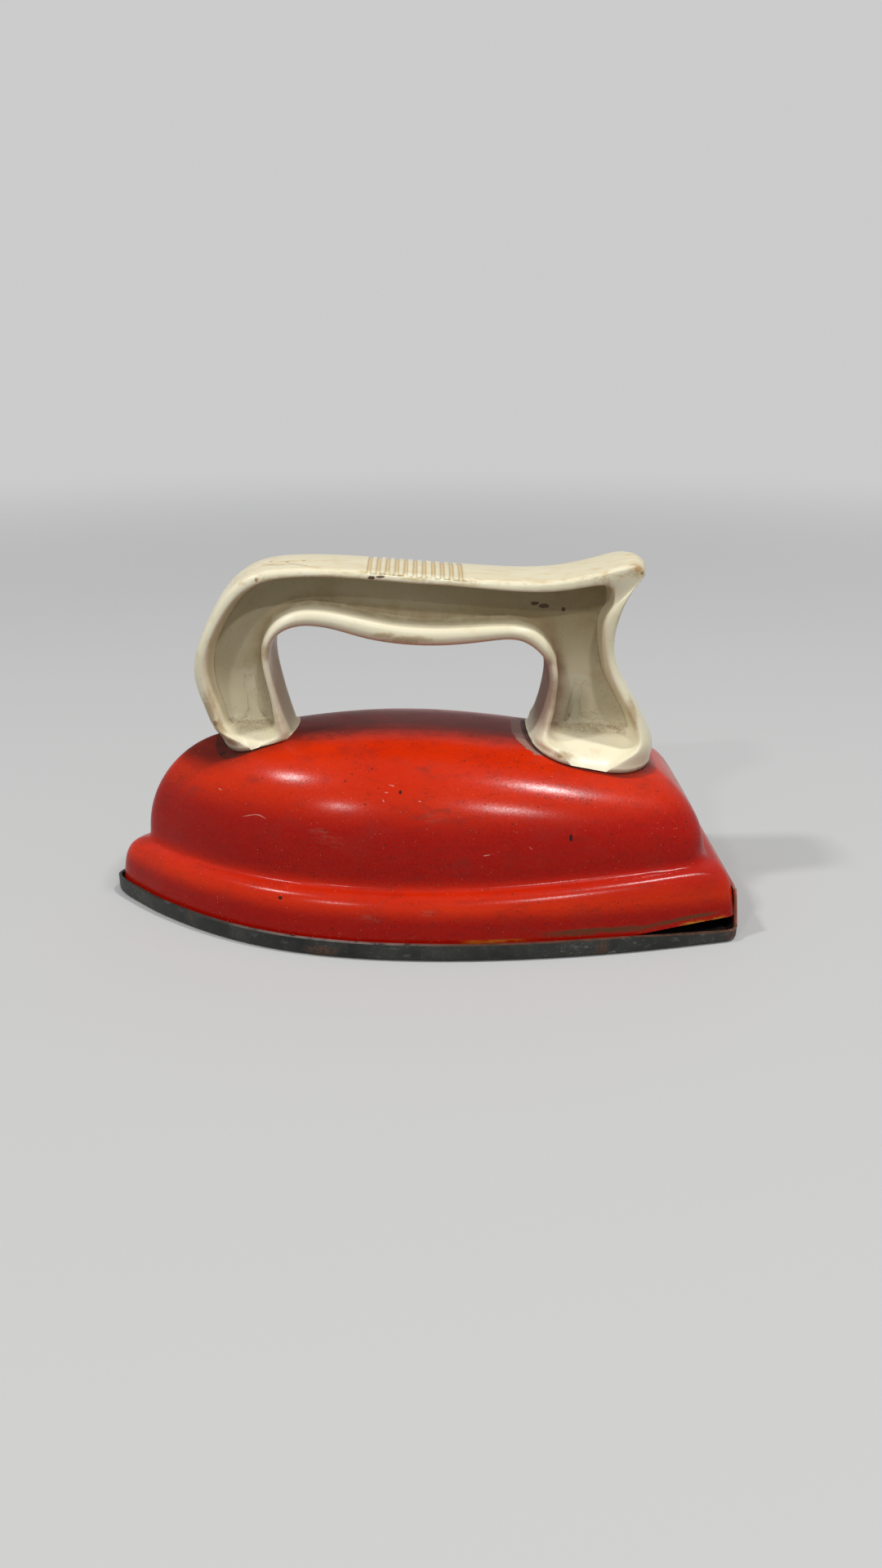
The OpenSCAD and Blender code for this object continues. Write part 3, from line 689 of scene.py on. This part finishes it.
def bare_steel():
    """The sole: dark dull sheet, scuffed and rusty, with a painted highlight on its edge and a red
    flange.
    """
    f = WornFinish("bare_steel")
    broad = f.noise(9, 5, shift=1.1)
    scuffs = f.noise(1.6, 5, 0.72, shift=2.6, stretch=(0.5, 0.5, 1.2))
    f.color = f.shades(broad, (0.3, STEEL_DARK), (0.72, STEEL_LIGHT))
    steel_scuffs(f, broad, scuffs)
    rust = steel_rust(f)
    edge = rim_glint(f, scuffs)
    flange = flange_paint(f, scuffs)

    roughness = 0.5 + (broad - 0.5) * 0.25 + rust * 0.25 - edge * 0.15
    metal = (0.55 - rust * 0.5) * (1.0 - flange)
    return f.close(roughness, broad + scuffs * 0.6, 0.05, Metallic=metal)


# The handle's cream plastic

# Colours of the handle.
CREAM_DARK, CREAM_LIGHT = (0.80, 0.73, 0.50), (0.87, 0.80, 0.60)
STAIN_YELLOW = (0.62, 0.47, 0.22)
# a darker tone on the top of the handle
TOP_TONE = (0.46, 0.38, 0.22)
# painted shade on the recess's web
WEB_SHADE = (0.30, 0.235, 0.12)
# dirt and painted shade in the corners of the recess
CORNER_DIRT_AND_SHADE = (0.30, 0.21, 0.095)
CORNER_GRIT = (0.16, 0.105, 0.05)
FRECKLE_BROWN = (0.36, 0.25, 0.11)
RECESS_DIRT = (0.34, 0.25, 0.12)
SPECK_BROWN = (0.18, 0.12, 0.06)
GROOVE_DIRT = (0.58, 0.43, 0.22)
TAN_STREAK = (0.58, 0.42, 0.18)
TAN_EDGE = (0.52, 0.38, 0.18)
CHIP_BROWN = (0.075, 0.030, 0.006)
LINE_BROWN = (0.28, 0.18, 0.08)
DOT_BROWN = (0.34, 0.16, 0.05)
RUB_BROWN = (0.40, 0.26, 0.11)
# a darker grey patch on the rear leg by its boss
REAR_LEG_GREY = (0.26, 0.23, 0.16)
# a darker pinkish brown tone on the faces round the finger gap
GAP_TINT = (0.24, 0.11, 0.08)

# Where layers of the handle fade in or out; the web faces the sides.
WEB_FACING, WEB_HALF_WIDTHS = (0.35, 0.9), (8.0, 6.5)
TOP_HEIGHTS, TOP_HALF_WIDTHS = (76, 80), (9.8, 8.0)
REARWARD_LENGTHS = (-20, 40)
FRONT_SHADE_HEIGHTS, REAR_SHADE_HEIGHTS = (50, 60), (56, 70)
SHADE_LOW_HEIGHTS = (43.5, 48)
CORNER_FACING, CORNER_SOFT = (0.42, 0.78), 0.12
CORNER_HALF_WIDTHS = (7.0, 5.0)
STREAK_HEIGHTS = (78.5, 80.0)
LIP_HEIGHTS, LIP_SOFT = (79.2, 81.6), 0.7
LIP_HALF_WIDTHS = (8.6, 9.6)
GAP_REARWARD = (0, 10)

# Patches on the handle: the centre of each, and its half sizes.
BOSSES = (
    ((-38.3, 0.0, 51.0), (3.7, 3.4, 8.0)),
    ((39.0, 0.0, 49.5), (3.7, 3.4, 7.5)),
)
FRECKLED_PATCHES = (
    ((-34.0, -2.4, 51.5), (3.0, 3.5, 4.5)),
    ((-38.0, -4.4, 45.0), (5.5, 6.0, 2.2)),
    ((40.0, -5.0, 45.5), (9.0, 6.0, 2.2)),
    ((49.0, -4.0, 47.5), (2.4, 4.0, 5.0)),
    ((-30.0, -2.1, 67.0), (4.5, 1.0, 2.5)),
    ((-10.0, -2.1, 70.3), (20.0, 0.8, 1.9)),
    ((14.0, -2.1, 68.8), (14.0, 0.8, 1.5)),
    ((-35.3, 2.4, 50.5), (5.0, 3.5, 4.0)),
    ((40.0, 3.0, 46.0), (6.0, 4.0, 3.0)),
)
HANDLE_CHIPS = (
    ((-9.2, -9.9, 81.0), (0.8, 1.2, 0.42)),
    ((-7.2, -9.9, 81.2), (1.0, 1.2, 0.28)),
    ((28.2, -2.1, 73.4), (1.0, 0.9, 0.45)),
    ((30.3, -2.1, 72.8), (1.2, 0.9, 0.55)),
    ((34.9, -2.1, 72.0), (0.5, 0.9, 0.5)),
    ((51.4, -9.3, 81.7), (0.4, 0.9, 0.4)),
    ((-8.0, 9.9, 81.2), (0.8, 1.2, 0.4)),
    ((22.0, 2.1, 71.6), (0.5, 0.9, 0.35)),
)
DOTS = (
    ((-32.3, -2.1, 83.4), (0.45, 0.5, 0.5)),
    ((-28.4, -3.8, 83.6), (0.45, 0.5, 0.5)),
    ((-24.7, -3.2, 83.8), (0.40, 0.5, 0.5)),
    ((-34.8, -10.0, 80.6), (0.40, 0.6, 0.5)),
    ((-46.3, -9.9, 47.1), (0.5, 1.0, 0.7)),
    ((35.1, -5.5, 43.9), (0.6, 1.0, 0.5)),
    ((33.6, -15.8, 40.4), (0.7, 1.0, 0.5)),
    ((50.5, -9.3, 82.6), (0.9, 1.0, 0.6)),
)
HANDLE_RUBS = (
    ((-1.1, -10.0, 66.9), (4.6, 1.6, 0.8)),
    ((-6.6, -10.0, 67.9), (2.4, 1.6, 0.6)),
    ((50.5, -9.0, 82.4), (2.2, 1.8, 1.6)),
    ((34.8, -15.4, 40.6), (2.6, 1.6, 0.9)),
    ((-47.4, -9.4, 49.8), (1.3, 2.2, 4.6)),
    ((-45.4, -9.7, 45.6), (1.5, 2.2, 2.4)),
    ((-42.9, -8.6, 42.0), (1.6, 2.0, 1.0)),
    ((50.6, -10.8, 48.4), (1.4, 2.5, 4.8)),
    ((-33.5, -9.6, 64.0), (1.2, 1.2, 2.0)),
)
REAR_LEG_PATCH = ((38.6, -2.2, 48.5), (2.6, 1.6, 5.0))
GAP_ENDS = (
    ((31.5, 0.0, 52.5), (3.8, 11.8, 12.5)),
    ((-31.0, 0.0, 52.0), (4.0, 9.0, 11.0)),
)

# Lines on the handle: the points of each.
RECESS_LINE_WIDTH = 6.0
RECESS_LINE = (
    (-34.5, -3.0, 62.0),
    (-32.5, -3.0, 69.0),
    (-26.7, -3.0, 73.0),
    (-19.7, -3.0, 73.5),
    (-6.7, -3.0, 70.9),
    (5.0, -3.0, 69.7),
    (17.7, -3.0, 70.2),
    (26.0, -3.0, 69.8),
    (30.5, -3.0, 66.0),
    (32.5, -3.0, 58.0),
)
HANDLE_LINE_WIDTH = 0.3
HANDLE_LINES = (
    ((-34.2, -3.2, 82.9), (-30.3, -6.2, 83.2), (-27.6, -5.5, 83.4), (-23.8, -7.2, 83.3)),
    ((46.4, -3.4, 44.0), (47.3, -4.2, 43.3), (48.8, -4.9, 42.7)),
    ((41.6, -12.1, 41.5), (42.2, -11.0, 41.8)),
    ((20.0, 4.0, 81.6), (27.0, 5.5, 81.2)),
    ((-24.0, 9.9, 78.4), (-12.0, 9.9, 79.2)),
)


def handle_stains_and_shade(f, facing, cloud):
    """Yellow stains, a darker tone on the top, and painted shade on the web, darker high up and
    towards the rear.
    """
    f.lay(STAIN_YELLOW, f.step(cloud, 0.52, 0.74), 0.35)
    web = f.step(facing, *WEB_FACING) * f.step(abs(f.y), *WEB_HALF_WIDTHS)
    # a darker tone on the top, outside the web
    top = f.step(f.z, *TOP_HEIGHTS) * (1.0 - web) * f.step(abs(f.y), *TOP_HALF_WIDTHS)
    f.lay(TOP_TONE, top, 0.4)
    # painted shade on the web: darker high up under the upper flange, and towards the rear
    rearward = f.step(f.x, *REARWARD_LENGTHS)
    front_shade = f.step(f.z, *FRONT_SHADE_HEIGHTS) * 0.45
    rear_shade = f.step(f.z, *REAR_SHADE_HEIGHTS) * 0.5 + 0.25
    painted_shade = (1.0 - rearward) * front_shade + rearward * rear_shade + 0.15
    painted_shade = painted_shade * f.step(f.z, *SHADE_LOW_HEIGHTS).most(rearward)
    f.lay(WEB_SHADE, web * painted_shade * (0.85 + cloud * 0.3))
    return web


def corner_dirt_and_shade(f, facing, cloud, grain):
    """Dirt and painted shade in the rounded corner between web and flange, but not round the
    bosses.
    """
    corner = f.band(facing, *CORNER_FACING, CORNER_SOFT)
    corner = corner * f.step(abs(f.y), *CORNER_HALF_WIDTHS) * (1.0 - f.spots(BOSSES))
    f.lay(CORNER_DIRT_AND_SHADE, corner * (0.2 + f.step(cloud, 0.36, 0.62) * 0.35))
    f.lay(CORNER_GRIT, corner * f.step(grain, 0.50, 0.62), 0.4)
    return corner


def recess_dirt(f, web, cloud, grain):
    """Freckled dirt low in the recess, dirt along its lower corner, and specks."""
    freckles = f.spots(FRECKLED_PATCHES, edge=1.6, ragged=0.8, grain=2.0)
    freckles = freckles * (f.step(f.noise(0.5, 3, 0.75, shift=3.7), 0.52, 0.64) * 0.85 + 0.1)
    f.lay(FRECKLE_BROWN, freckles, 0.5)
    lower_corner = f.scratch(RECESS_LINE_WIDTH, RECESS_LINE)
    f.lay(RECESS_DIRT, lower_corner * (0.25 + f.step(cloud, 0.36, 0.6) * 0.3 + grain * 0.25))
    specks = f.specks(0.26, 0.22, 1.9) * (0.4 + web * 0.6)
    f.lay(SPECK_BROWN, specks, 0.75)


def groove_dirt(f, grain):
    """Old dirt in the grooves across the grip."""
    turn = (f.x - GROOVE_X) / GROOVE_PITCH
    nearest = turn.nearest().most(0.0).least(GROOVE_COUNT - 1.0)
    away = abs(turn - nearest) * GROOVE_PITCH
    groove = f.step(away, 0.68 * GROOVE_WIDTH, 0.40 * GROOVE_WIDTH)
    groove = groove * f.step(f.z, GROOVE_LOW_Z, GROOVE_LOW_Z + 0.3)
    groove = groove * f.step(abs(f.y), GROOVE_END_Y + 0.5, GROOVE_END_Y - 0.3)
    f.lay(GROOVE_DIRT, groove * (0.6 + grain * 0.5))
    return groove


def tan_edges(f, cloud, grain):
    """Tan streaks along the top, and a tan edge over the recess."""
    tan = f.noise(1.5, 5, 0.7, shift=2.7, stretch=(0.22, 1, 1))
    f.lay(TAN_STREAK, f.step(tan, 0.50, 0.64) * f.step(f.z, *STREAK_HEIGHTS), 0.65)
    lip = f.band(f.z, *LIP_HEIGHTS, LIP_SOFT) * f.step(abs(f.y), *LIP_HALF_WIDTHS)
    lip = lip * f.step(cloud, 0.44, 0.62) * f.step(grain, 0.42, 0.56)
    f.lay(TAN_EDGE, lip, 0.6)


def handle_chips(f):
    """Dark chips along the edges."""
    chips = f.spots(HANDLE_CHIPS, ragged=0.9, grain=0.7)
    f.lay(CHIP_BROWN, chips, 0.95)
    return chips


def handle_lines(f, grain):
    """Single scratches with dirt in them."""
    lines = f.scratches(HANDLE_LINE_WIDTH, HANDLE_LINES) * f.step(grain, 0.34, 0.48)
    f.lay(LINE_BROWN, lines, 0.85)
    return lines


def handle_rubs(f, cloud):
    """Dots, brown rubbed patches on the edges, and a darker grey patch on the rear leg by its boss.
    """
    f.lay(DOT_BROWN, f.spots(DOTS, ragged=0.8, grain=0.6), 0.8)
    f.lay(RUB_BROWN, f.spots(HANDLE_RUBS, edge=1.1, ragged=1.5, grain=1.1), 0.65)
    f.lay(REAR_LEG_GREY, f.spot(*REAR_LEG_PATCH, 1.4, (cloud - 0.5) * 1.2), 0.5)


def gap_tint(f):
    """A darker pinkish brown tone on the faces round the finger gap, stronger towards the rear."""
    blush = f.spots(GAP_ENDS, edge=1.0, ragged=0.6, grain=4.0)
    f.lay(GAP_TINT, blush * (0.42 + f.step(f.x, *GAP_REARWARD) * 0.4))
    return blush


def cream_plastic():
    """The handle: yellowed cream plastic with dirt in its corners, grooves and scratches, and
    painted shade in its corners and on the web of its recess.
    """
    f = WornFinish("cream_plastic")
    facing = f.add("ShaderNodeAttribute", {"attribute_name": "facing"}, output="Fac")
    broad = f.noise(22, 4)
    cloud = f.noise(5, 5, 0.65, shift=2.1)
    grain = f.noise(0.9, 4, 0.7, shift=6.3)
    f.color = f.shades(broad, (0.3, CREAM_DARK), (0.7, CREAM_LIGHT))
    web = handle_stains_and_shade(f, facing, cloud)
    corner = corner_dirt_and_shade(f, facing, cloud, grain)
    recess_dirt(f, web, cloud, grain)
    groove = groove_dirt(f, grain)
    tan_edges(f, cloud, grain)
    chips = handle_chips(f)
    lines = handle_lines(f, grain)
    handle_rubs(f, cloud)
    blush = gap_tint(f)

    roughness = 0.34 + web * 0.2 + (cloud - 0.5) * 0.2 + (groove + corner) * 0.2 + blush * 0.35
    height = grain * 0.35 + cloud * 0.3 - lines - chips * 0.5
    return f.close(roughness, height, 0.035, Specular_IOR_Level=0.4)


# The fasteners' plated steel

# Colours of the screws and washers.
PLATING_DARK, PLATING_LIGHT = (0.32, 0.31, 0.28), (0.52, 0.50, 0.46)


def fastener_steel():
    """Screws and washers: plated steel, dulled by age."""
    f = Finish("fastener_steel")
    cloud = f.noise(2, 3)
    f.color = f.shades(cloud, (0.3, PLATING_DARK), (0.7, PLATING_LIGHT))
    return f.close(0.3 + cloud * 0.2, cloud, 0.05, Metallic=1.0)


# Pieces


def pick_only(obj):
    bpy.ops.object.select_all(action="DESELECT")
    obj.select_set(True)
    bpy.context.view_layer.objects.active = obj


def copy_node(node_name, name):
    """A merged copy of a CAD node that stands in the node's place."""
    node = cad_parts[node_name]
    piece = node.copy()
    piece.data = node.data.copy()
    piece.name = name
    piece.parent = None
    for key in list(piece.keys()):
        del piece[key]
    bpy.context.scene.collection.objects.link(piece)
    pick_only(piece)
    bpy.ops.object.mode_set(mode="EDIT")
    bpy.ops.mesh.select_all(action="SELECT")
    bpy.ops.mesh.remove_doubles(threshold=MERGE_DISTANCE * MM)
    bpy.ops.mesh.tris_convert_to_quads(
        face_threshold=math.radians(QUAD_FACE_ANGLE),
        shape_threshold=math.radians(QUAD_SHAPE_ANGLE),
    )
    bpy.ops.object.mode_set(mode="OBJECT")
    return piece


def round_facets(piece, crease_angle):
    """One subdivision that keeps edges sharper than the angle where they are."""
    pick_only(piece)
    bpy.ops.object.mode_set(mode="EDIT")
    bpy.ops.mesh.select_mode(type="EDGE")
    bpy.ops.mesh.select_all(action="DESELECT")
    bpy.ops.mesh.edges_select_sharp(sharpness=math.radians(crease_angle))
    bpy.ops.transform.edge_crease(value=1.0)
    bpy.ops.object.mode_set(mode="OBJECT")
    rounding = piece.modifiers.new("rounding", "SUBSURF")
    rounding.levels = rounding.render_levels = 1
    bpy.ops.object.modifier_apply(modifier=rounding.name)


def soften_feet(piece):
    """Rounds the folds where the side recesses start, and leaves the seats as they are."""
    pick_only(piece)
    bpy.ops.object.mode_set(mode="EDIT")
    bpy.ops.mesh.select_mode(type="VERT")
    bpy.ops.mesh.select_all(action="DESELECT")
    bpy.ops.object.mode_set(mode="OBJECT")
    mesh = piece.data
    seat = {i for face in mesh.polygons if face.normal.z < SEAT_DOWNWARDS for i in face.vertices}
    for vertex in mesh.vertices:
        low_side = abs(vertex.co.y) > FOOT_SIDE * MM and vertex.co.z < FOOT_TOP * MM
        vertex.select = low_side and vertex.index not in seat
    bpy.ops.object.mode_set(mode="EDIT")
    bpy.ops.mesh.vertices_smooth(factor=FOOT_FACTOR, repeat=FOOT_ROUNDS)
    bpy.ops.object.mode_set(mode="OBJECT")


def mark_facing(piece):
    """Keeps on each point how squarely it faces the sides, for the painted shade and the dirt in
    the recess.
    """
    mesh = piece.data
    facing = [abs(vertex.normal.y) for vertex in mesh.vertices]
    attribute = mesh.attributes.new("facing", "FLOAT", "POINT")
    attribute.data.foreach_set("value", facing)


def dress(piece, node_name, material, smooth_angle):
    """Gives a piece its shading, its material and its place in the part."""
    pick_only(piece)
    bpy.ops.object.shade_smooth_by_angle(angle=math.radians(smooth_angle))
    piece.data.materials.clear()
    piece.data.materials.append(material)
    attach(piece, BODY)
    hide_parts(node_name)


def add_shell():
    shell = copy_node("body_shell", "shell")
    round_facets(shell, SHEET_CREASE)
    dress(shell, "body_shell", red_enamel(), SHEET_SMOOTH)


def add_sole():
    sole = copy_node("soleplate", "sole")
    round_facets(sole, SHEET_CREASE)
    dress(sole, "soleplate", bare_steel(), SHEET_SMOOTH)


def add_grip():
    grip = copy_node("handle", "grip")
    round_facets(grip, GRIP_CREASE)
    soften_feet(grip)
    mark_facing(grip)
    dress(grip, "handle", cream_plastic(), GRIP_SMOOTH)


def dress_fasteners():
    """The screws and washers stay the CAD nodes themselves."""
    material = fastener_steel()
    for name in FASTENERS:
        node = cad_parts[name]
        node.data.materials.clear()
        node.data.materials.append(material)


# Stage


def add_floor():
    bpy.ops.object.select_all(action="DESELECT")
    bpy.ops.mesh.primitive_plane_add(size=FLOOR_SIDE, location=(0, 0, 0))
    floor = bpy.context.active_object
    floor.name = "floor"
    f = Finish("floor")
    far = f.step(f.vector("LENGTH", f.place, (0, 0, 0), "Value"), FADE_START, FADE_END)
    f.color = f.seen_or_lit(f.paint(SEEN_FLOOR, BLACK, far), LIGHT_FLOOR)
    glow = f.seen_or_lit(f.paint(BLACK, SEEN_WORLD, far), BLACK)
    matt = {"Specular_IOR_Level": 0.0, "Emission_Color": glow, "Emission_Strength": 1.0}
    floor.data.materials.append(f.close(FLOOR_ROUGHNESS, **matt))


def add_world():
    world = bpy.data.worlds.new("studio")
    world.use_nodes = True
    bpy.context.scene.world = world
    n = Nodes(world.node_tree)
    background = n.add("ShaderNodeBackground", {}, {0: n.seen_or_lit(SEEN_WORLD, LIGHT_WORLD)})
    n.add("ShaderNodeOutputWorld", {}, {"Surface": background})


def add_panel(name, along_x, along_y):
    """A lamp panel in the ceiling; its place is in shares of the ceiling's height."""
    lamp = bpy.data.lights.new(name, "AREA")
    lamp.shape = "RECTANGLE"
    lamp.size, lamp.size_y = PANEL_LENGTH, PANEL_WIDTH
    lamp.energy = PANEL_WATTS
    obj = bpy.data.objects.new(name, lamp)
    obj.location = (along_x * CEILING, along_y * CEILING, CEILING)
    bpy.context.scene.collection.objects.link(obj)


def add_camera():
    data = bpy.data.cameras.new("photo_view")
    data.sensor_width = SENSOR
    data.lens = FOCAL_PIXELS * SENSOR / PICTURE_HEIGHT_PIXELS
    data.clip_start, data.clip_end = CLIP_NEAR, CLIP_FAR
    camera = bpy.data.objects.new("photo_view", data)
    camera.location = CAMERA_PLACE
    camera.rotation_euler = (math.radians(90 - CAMERA_PITCH), 0, math.radians(-CAMERA_YAW))
    bpy.context.scene.collection.objects.link(camera)
    bpy.context.scene.camera = camera


def main():
    bpy.context.scene.view_settings.view_transform = "Standard"
    add_camera()
    add_world()
    for panel in PANELS:
        add_panel(*panel)
    add_floor()
    add_shell()
    add_sole()
    add_grip()
    dress_fasteners()


main()
